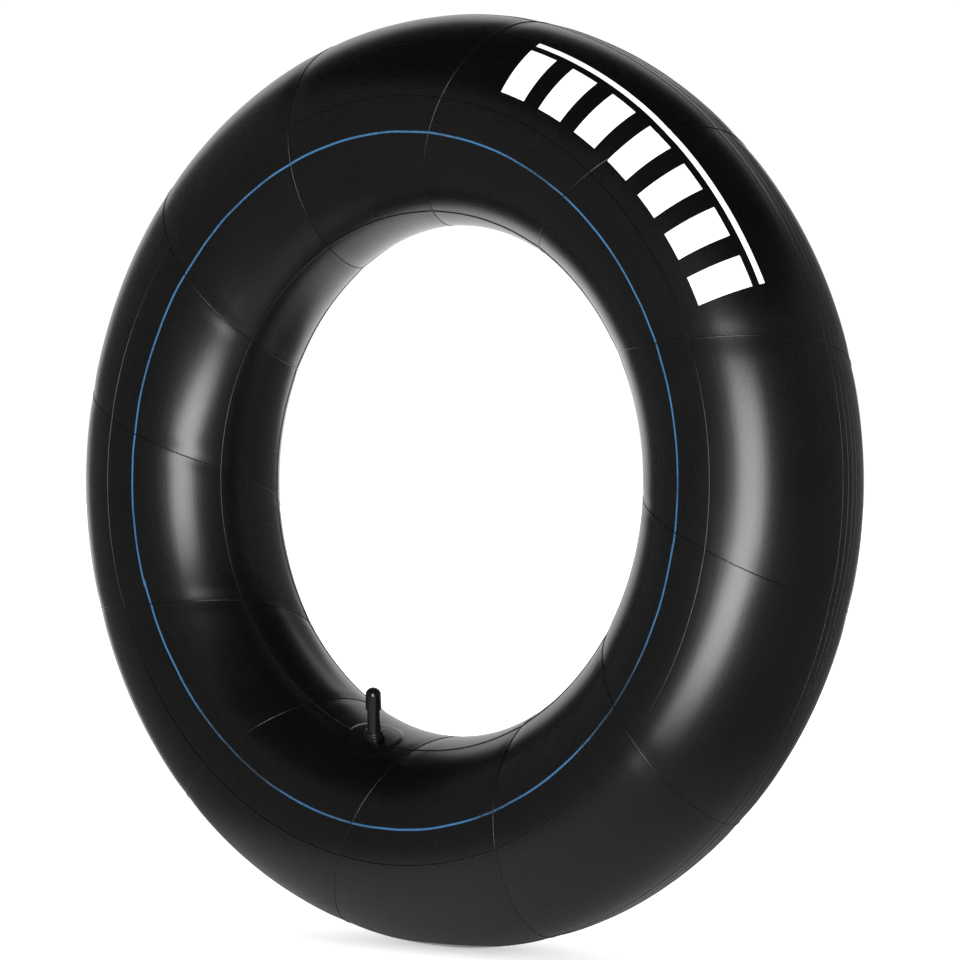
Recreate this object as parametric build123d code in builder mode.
# Inner tube of a small trailer wheel, standing upright on its crown.
#
# Frame: millimetres, origin at the centre of the ring, ring axis along Y, +Z up.
# The front side of the ring faces -Y.  The valve is near the bottom of the hole and
# points up through it, leaning to the front.
#
# Angles: a clock angle goes round the ring from straight down (-Z) towards +X.
# A section angle goes round the tube's cross-section: 0 is the crown, 180 the rim side,
# and negative angles are on the front (-Y) side.
from build123d import *
import math
import os

os.makedirs("parts", exist_ok=True)

# ---------------------------------------------------------------- driving dimensions
# ring
outer_diameter = 546.0        # across the crown
hole_diameter = 300.0         # across the rim side, sits on a 12 inch rim
section_width = 117.0         # along the ring axis
wall = 2.0                    # butyl wall
rib_radius = 0.55             # moulded lines, half round
crown_rib_angles = (-5.0, 0.0, 5.0, 9.5)
side_rib_angle = 81.0         # moulded line on each sidewall

# coloured stripe and printed marks, each a thin film on the rubber
film = 0.15
stripe_angle = -101.6
stripe_width = 1.7
print_start = 114.0           # clock angle where the print begins
print_bars = 7
print_bar_angles = (-70.0, -40.5)       # section angles
print_bar_clock = 4.2
print_bar_pitch = 7.0
print_rule_angles = (-36.5, -33.5)      # thin rule along the bars

# valve position and base
valve_clock = -14.0
valve_section = -155.0
valve_lean = 18.5             # out of the ring's plane, to the front
valve_height = 32.5           # from the tube's surface to the top of the cap
patch_radius = 19.0
patch_thickness = 1.4
wall_hole_radius = 4.0        # hole in the tube wall under the valve

# rubber cover of the stem
collar_radius = 5.4
collar_height = 3.4           # above the patch
collar_round = 0.5
collar_foot_radius = 6.0      # low step where the collar meets the patch
collar_foot_height = 1.5
stem_foot_radius = 4.1
stem_top_radius = 3.75
cover_gap = 0.2               # from the cover's top edge to the cap

# brass insert
thread_radius = 3.85          # 8V1 valve thread, 7.7 mm over the crests
shank_radius = 3.1
grip_ridge = 0.25
grip_ridges = 3
mouth_drop = 3.3              # mouth of the stem below the top of the cap
mouth_flare = 0.4
mouth_chamfer = 0.5
air_bore_radius = 1.3
core_thread_radius = 2.6      # 5V1 core thread, 5.2 mm
core_thread_depth = 6.8       # this and the next three are depths below the mouth
seat_top_depth = 14.0
seat_bottom_depth = 15.0
chamber_depth = 21.8
seat_radius = 2.35
chamber_radius = 2.0

# valve core
core_clearance = 0.05
running_clearance = 0.1
plug_top_drop = 1.2           # plug head below the mouth
plug_length = 5.2
plug_bore_radius = 1.25
plug_socket_radius = 1.75
plug_socket_depth = 1.2
bridge_width = 1.9
bridge_bore_radius = 0.72
bridge_height = 2.0
barrel_radius = 1.65
barrel_bore_radius = 1.35
barrel_depth = 17.4           # lower end of the barrel below the mouth
barrel_ledge = 1.5
barrel_flange = 0.6
ledge_bore_radius = 0.85
core_gasket_height = 1.4
pin_radius = 0.65
pin_tip_drop = 0.8            # pin tip below the mouth
pin_stop_radius = 1.15
pin_stop_length = 0.8
cup_radius = 1.7
cup_height = 1.9
cup_floor = 0.6
cup_wall = 0.2
core_seal_proud = 0.35
spring_wire_radius = 0.17
spring_mean_radius = 1.0
spring_length = 6.4
spring_turns = 7

# cap
cap_length = 13.5
cap_wall = 0.55
cap_dome = 3.6
cap_rim_flare = 0.2
cap_rim_height = 2.2
cap_thread_clearance = 0.1
cap_gasket_inset = 0.55       # edge of the cap's gasket inside the stem's thread
cap_gasket_thickness = 0.9
cap_chamfer = 0.5
seal_gap = 0.05               # between a resting seal and its seat

# ---------------------------------------------------------------- derived sizes
outer_radius = outer_diameter / 2
hole_radius = hole_diameter / 2
centre_radius = (outer_radius + hole_radius) / 2      # centre line of the tube
half_depth = (outer_radius - hole_radius) / 2         # section, crown to rim side
half_width = section_width / 2                        # section, front to back

cap_bottom = valve_height - cap_length
cap_bore_radius = thread_radius + cap_thread_clearance
cap_radius = cap_bore_radius + cap_wall
cap_rim_radius = cap_radius + cap_rim_flare
cap_gasket_radius = thread_radius - cap_gasket_inset

collar_top = patch_thickness + collar_height
collar_foot_top = patch_thickness + collar_foot_height
stem_cover_top = cap_bottom - cover_gap
mouth_height = valve_height - mouth_drop
mouth_recess_radius = core_thread_radius + mouth_flare
core_thread_bottom = mouth_height - core_thread_depth
seat_top = mouth_height - seat_top_depth
seat_bottom = mouth_height - seat_bottom_depth
chamber_bottom = mouth_height - chamber_depth
barrel_bottom = mouth_height - barrel_depth

plug_top = mouth_height - plug_top_drop
plug_bottom = plug_top - plug_length
pin_tip = mouth_height - pin_tip_drop
barrel_top = plug_bottom + plug_socket_depth - running_clearance
cup_top = barrel_bottom - core_seal_proud - seal_gap
cup_bottom = cup_top - cup_height
spring_bottom = barrel_bottom + barrel_ledge + spring_wire_radius + seal_gap
pin_stop_bottom = spring_bottom + spring_length + spring_wire_radius + seal_gap
pin_stop_top = pin_stop_bottom + pin_stop_length


def section_point(angle):
    """Radius and axial place of a point on the section."""
    a = math.radians(angle)
    return Vector(centre_radius + half_depth * math.cos(a), half_width * math.sin(a))


def ring_direction(clock):
    """Unit vector from the ring's centre to a clock angle."""
    c = math.radians(clock)
    return Vector(math.sin(c), 0, -math.cos(c))


def ring_plane(clock):
    """Half plane through the ring axis: x runs outward, y runs to the back (+Y)."""
    outward = ring_direction(clock)
    return Plane(origin=(0, 0, 0), x_dir=outward, z_dir=outward.cross(Vector(0, 1, 0)))


ring_axis = Axis((0, 0, 0), (0, 1, 0))

# valve frame: origin on the tube's surface, z along the valve, x round the ring
foot = section_point(valve_section)
lean = math.radians(valve_lean)
valve_out = ring_direction(valve_clock)
valve_origin = valve_out * foot.X + Vector(0, foot.Y, 0)
valve_up = valve_out * -math.cos(lean) + Vector(0, -math.sin(lean), 0)
valve_side = valve_out.cross(Vector(0, 1, 0))
valve_plane = Plane(origin=valve_origin, x_dir=valve_side, z_dir=valve_up)
valve_half_plane = Plane(origin=valve_origin, x_dir=valve_side, z_dir=valve_side.cross(valve_up))
valve_axis = Axis(valve_origin, valve_up)


def turned(*outline):
    """Closed profile of (radius, height) corners on the valve's half plane."""
    with BuildSketch(valve_half_plane) as profile:
        with BuildLine():
            Polyline(*outline, close=True)
        make_face()
    return profile.sketch


def film_profile(angles, clock):
    """Thin strip on the tube's section, between two section angles."""
    reach = 2 * half_depth
    corners = [(centre_radius + reach * math.cos(math.radians(a)),
                reach * math.sin(math.radians(a))) for a in angles]
    with BuildSketch(ring_plane(clock)) as profile:
        with Locations((centre_radius, 0)):
            Ellipse(half_depth + film, half_width + film)
            Ellipse(half_depth, half_width, mode=Mode.SUBTRACT)
        with BuildLine():
            Polyline((centre_radius, 0), *corners, close=True)
        make_face(mode=Mode.INTERSECT)
    return profile.sketch


def bore_along_valve(radius, low, high):
    """Cut a round hole on the valve axis between two heights."""
    with BuildSketch(valve_plane.offset(low)) as disc:
        Circle(radius)
    extrude(disc.sketch, amount=high - low, mode=Mode.SUBTRACT)


# ---------------------------------------------------------------- tube
with BuildPart() as tube_carcass:
    with BuildSketch(ring_plane(0)):
        with Locations((centre_radius, 0)):
            Ellipse(half_depth, half_width)
        for rib_angle in crown_rib_angles + (side_rib_angle, -side_rib_angle):
            with Locations(section_point(rib_angle)):
                Circle(rib_radius)
        with Locations((centre_radius, 0)):
            Ellipse(half_depth - wall, half_width - wall, mode=Mode.SUBTRACT)
    revolve(axis=ring_axis)
    bore_along_valve(wall_hole_radius, -2 * wall, wall)
tube_carcass.part.label = "tube_carcass"
export_step(tube_carcass.part, "parts/tube_carcass.step")

# the stripe is as wide as asked where it lies, so its angle comes from the arc it covers
stripe_half_angle = math.degrees(stripe_width / 2 / half_width)
with BuildPart() as size_stripe:
    stripe_edges = (stripe_angle - stripe_half_angle, stripe_angle + stripe_half_angle)
    revolve(film_profile(stripe_edges, 0), axis=ring_axis)
size_stripe.part.label = "size_stripe"
export_step(size_stripe.part, "parts/size_stripe.step")

print_length = (print_bars - 1) * print_bar_pitch + print_bar_clock
with BuildPart() as print_marks:
    for bar in range(print_bars):
        bar_end = print_start + bar * print_bar_pitch + print_bar_clock
        revolve(film_profile(print_bar_angles, bar_end), axis=ring_axis,
                revolution_arc=print_bar_clock)
    revolve(film_profile(print_rule_angles, print_start + print_length), axis=ring_axis,
            revolution_arc=print_length)
print_marks.part.label = "print_marks"
export_step(print_marks.part, "parts/print_marks.step")

# ---------------------------------------------------------------- valve base and stem
patch_half_clock = 2 * math.degrees(patch_radius / hole_radius)
with BuildPart() as valve_patch:
    with BuildSketch(ring_plane(valve_clock + patch_half_clock)):
        with Locations((centre_radius, 0)):
            Ellipse(half_depth + patch_thickness, half_width + patch_thickness)
            Ellipse(half_depth, half_width, mode=Mode.SUBTRACT)
    revolve(axis=ring_axis, revolution_arc=2 * patch_half_clock)
    with BuildSketch(valve_plane.offset(-patch_radius / 2)):
        Circle(patch_radius)
    extrude(amount=patch_radius, mode=Mode.INTERSECT)
    bore_along_valve(wall_hole_radius, -2 * wall, 2 * patch_thickness)
valve_patch.part.label = "valve_patch"
export_step(valve_patch.part, "parts/valve_patch.step")

with BuildPart() as stem_insert:
    grip_span = (cap_bottom - collar_top) / (grip_ridges + 1)
    profile = turned((air_bore_radius, -wall), (shank_radius, -wall),
                     (shank_radius, stem_cover_top), (thread_radius, stem_cover_top),
                     (thread_radius, mouth_height), (mouth_recess_radius, mouth_height),
                     (core_thread_radius, mouth_height - mouth_chamfer),
                     (core_thread_radius, core_thread_bottom), (seat_radius, core_thread_bottom),
                     (seat_radius, seat_top), (chamber_radius, seat_bottom),
                     (chamber_radius, chamber_bottom), (air_bore_radius, chamber_bottom))
    revolve(profile, axis=valve_axis)
    for ridge in range(grip_ridges):
        ridge_height = collar_top + grip_span * (ridge + 1)
        profile = turned((shank_radius, ridge_height - grip_ridge),
                         (shank_radius + grip_ridge, ridge_height),
                         (shank_radius, ridge_height + grip_ridge))
        revolve(profile, axis=valve_axis)
stem_insert.part.label = "stem_insert"
export_step(stem_insert.part, "parts/stem_insert.step")

# the cover's collar is trimmed to the patch's curved face, then its plug fills the wall hole
with BuildPart() as stem_cover:
    profile = turned((0, -wall), (collar_foot_radius, -wall), (collar_foot_radius, collar_foot_top),
                     (collar_radius, collar_foot_top), (collar_radius, collar_top - collar_round),
                     (collar_radius - collar_round, collar_top), (stem_foot_radius, collar_top),
                     (stem_top_radius, stem_cover_top), (0, stem_cover_top))
    revolve(profile, axis=valve_axis)
    with BuildSketch(ring_plane(valve_clock + patch_half_clock)):
        with Locations((centre_radius, 0)):
            Ellipse(half_depth + patch_thickness, half_width + patch_thickness)
    revolve(axis=ring_axis, revolution_arc=2 * patch_half_clock, mode=Mode.SUBTRACT)
    profile = turned((0, -wall), (wall_hole_radius, -wall), (wall_hole_radius, collar_top),
                     (0, collar_top))
    revolve(profile, axis=valve_axis)
    add(stem_insert.part, mode=Mode.SUBTRACT)
    bore_along_valve(shank_radius, -2 * wall, mouth_height)
stem_cover.part.label = "stem_cover"
export_step(stem_cover.part, "parts/stem_cover.step")

# ---------------------------------------------------------------- valve core
plug_radius = core_thread_radius - core_clearance
bridge_bottom = plug_top - bridge_height
with BuildPart() as core_plug:
    profile = turned((bridge_bore_radius, plug_top), (plug_radius, plug_top),
                     (plug_radius, plug_bottom), (plug_socket_radius, plug_bottom),
                     (plug_socket_radius, plug_bottom + plug_socket_depth),
                     (plug_bore_radius, plug_bottom + plug_socket_depth),
                     (plug_bore_radius, bridge_bottom), (bridge_bore_radius, bridge_bottom))
    revolve(profile, axis=valve_axis)
    with BuildSketch(valve_plane.offset(bridge_bottom)):
        Rectangle(4 * plug_radius, 4 * plug_radius)
        Rectangle(4 * plug_radius, bridge_width, mode=Mode.SUBTRACT)
    extrude(amount=2 * bridge_height, mode=Mode.SUBTRACT)
core_plug.part.label = "core_plug"
export_step(core_plug.part, "parts/core_plug.step")

gasket_bottom = seat_top + seal_gap
gasket_top = gasket_bottom + core_gasket_height
gasket_radius = seat_radius - core_clearance
with BuildPart() as core_gasket:
    profile = turned((barrel_radius, gasket_bottom), (gasket_radius, gasket_bottom),
                     (gasket_radius, gasket_top), (barrel_radius, gasket_top))
    revolve(profile, axis=valve_axis)
core_gasket.part.label = "core_gasket"
export_step(core_gasket.part, "parts/core_gasket.step")

with BuildPart() as core_barrel:
    profile = turned((ledge_bore_radius, barrel_bottom), (barrel_radius, barrel_bottom),
                     (barrel_radius, gasket_top), (gasket_radius, gasket_top),
                     (gasket_radius, gasket_top + barrel_flange),
                     (barrel_radius, gasket_top + barrel_flange), (barrel_radius, barrel_top),
                     (barrel_bore_radius, barrel_top),
                     (barrel_bore_radius, barrel_bottom + barrel_ledge),
                     (ledge_bore_radius, barrel_bottom + barrel_ledge))
    revolve(profile, axis=valve_axis)
core_barrel.part.label = "core_barrel"
export_step(core_barrel.part, "parts/core_barrel.step")

with BuildPart() as core_pin:
    profile = turned((0, cup_bottom), (pin_radius, cup_bottom), (pin_radius, pin_stop_bottom),
                     (pin_stop_radius, pin_stop_bottom), (pin_stop_radius, pin_stop_top),
                     (pin_radius, pin_stop_top), (pin_radius, pin_tip), (0, pin_tip))
    revolve(profile, axis=valve_axis)
core_pin.part.label = "core_pin"
export_step(core_pin.part, "parts/core_pin.step")

# coil spring round the pin, between the barrel's ledge and the pin's stop
coil_plane = valve_plane.offset(spring_bottom)
with BuildPart() as core_spring:
    with BuildLine():
        coil = Helix(pitch=spring_length / spring_turns, height=spring_length,
                     radius=spring_mean_radius, center=coil_plane.origin,
                     direction=coil_plane.z_dir)
    with BuildSketch(Plane(origin=coil @ 0, z_dir=coil % 0)):
        Circle(spring_wire_radius)
    sweep(is_frenet=True)
core_spring.part.label = "core_spring"
export_step(core_spring.part, "parts/core_spring.step")

with BuildPart() as core_cup:
    profile = turned((pin_radius, cup_bottom), (cup_radius, cup_bottom), (cup_radius, cup_top),
                     (cup_radius - cup_wall, cup_top),
                     (cup_radius - cup_wall, cup_bottom + cup_floor),
                     (pin_radius, cup_bottom + cup_floor))
    revolve(profile, axis=valve_axis)
core_cup.part.label = "core_cup"
export_step(core_cup.part, "parts/core_cup.step")

with BuildPart() as core_seal:
    profile = turned((pin_radius, cup_bottom + cup_floor),
                     (cup_radius - cup_wall, cup_bottom + cup_floor),
                     (cup_radius - cup_wall, cup_top + core_seal_proud),
                     (pin_radius, cup_top + core_seal_proud))
    revolve(profile, axis=valve_axis)
core_seal.part.label = "core_seal"
export_step(core_seal.part, "parts/core_seal.step")

# ---------------------------------------------------------------- cap
gasket_low = mouth_height + seal_gap
gasket_high = gasket_low + cap_gasket_thickness
with BuildPart() as cap_gasket:
    profile = turned((0, gasket_low), (cap_gasket_radius, gasket_low),
                     (cap_gasket_radius, gasket_high), (0, gasket_high))
    revolve(profile, axis=valve_axis)
cap_gasket.part.label = "cap_gasket"
export_step(cap_gasket.part, "parts/cap_gasket.step")

dome_base = valve_height - cap_dome
dome_radius = (cap_radius ** 2 + cap_dome ** 2) / (2 * cap_dome)     # through rim and apex
pocket_radius = cap_gasket_radius + seal_gap
with BuildPart() as cap_shell:
    with BuildSketch(valve_half_plane):
        with BuildLine():
            dome = RadiusArc((cap_radius, dome_base), (0, valve_height), -dome_radius)
            Polyline(dome @ 1, (0, gasket_high + seal_gap),
                     (pocket_radius, gasket_high + seal_gap), (pocket_radius, gasket_low),
                     (cap_bore_radius, gasket_low), (cap_bore_radius, cap_bottom),
                     (cap_rim_radius, cap_bottom), (cap_rim_radius, cap_bottom + cap_rim_height),
                     (cap_radius, cap_bottom + cap_rim_height + cap_chamfer), dome @ 0)
        make_face()
    revolve(axis=valve_axis)
cap_shell.part.label = "cap_shell"
export_step(cap_shell.part, "parts/cap_shell.step")
